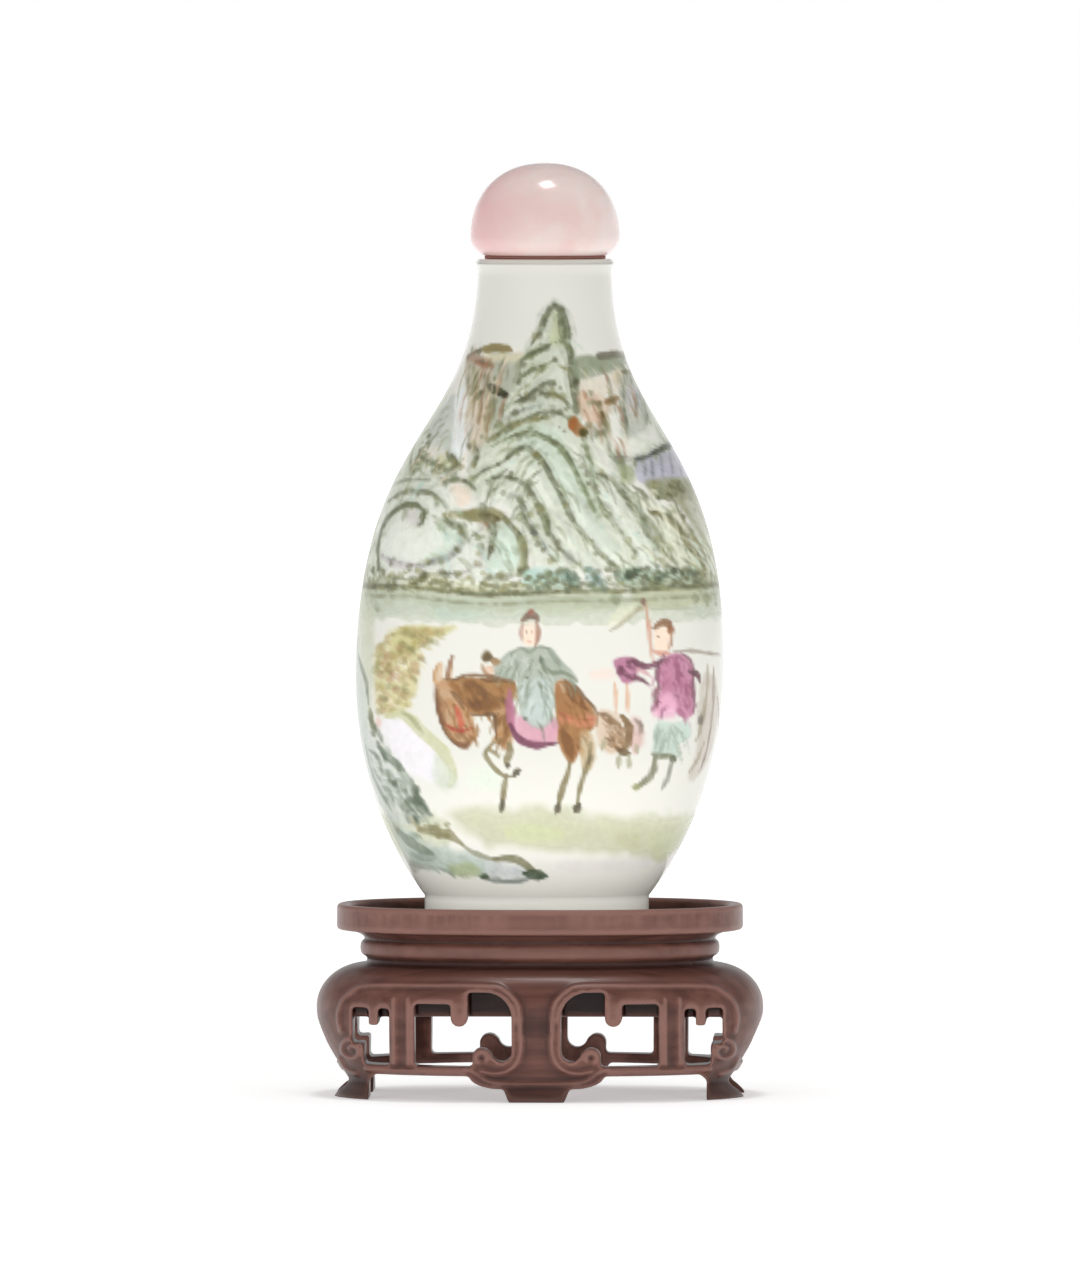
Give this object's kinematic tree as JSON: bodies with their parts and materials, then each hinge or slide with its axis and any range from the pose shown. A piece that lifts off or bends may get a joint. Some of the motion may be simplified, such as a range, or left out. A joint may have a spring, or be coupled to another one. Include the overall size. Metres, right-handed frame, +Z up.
{
  "type": "snuff bottle",
  "caption": "Flattened pear-shaped porcelain snuff bottle with a domed stone stopper, standing in the tray of an oval pierced hardwood stand.",
  "frame": {"origin": "middle of the stand's footprint, on the surface that its feet stand on", "axes": "+Z up along the bottle, +X along the broad side's width, +Y from the painted front to the back"},
  "size_m": [0.042, 0.0288, 0.0876],
  "materials": {
    "painted_porcelain": "white glaze with painted enamels, glossy",
    "pink_stone": "polished",
    "cork": "dark cork, matt",
    "hardwood": "dark red-brown hardwood, waxed and polished"
  },
  "bodies": {
    "root": {"porcelain_bottle": "painted_porcelain", "stopper_cap": "pink_stone", "stopper_cork": "cork", "wood_stand": "hardwood"}
  },
  "joints": []
}
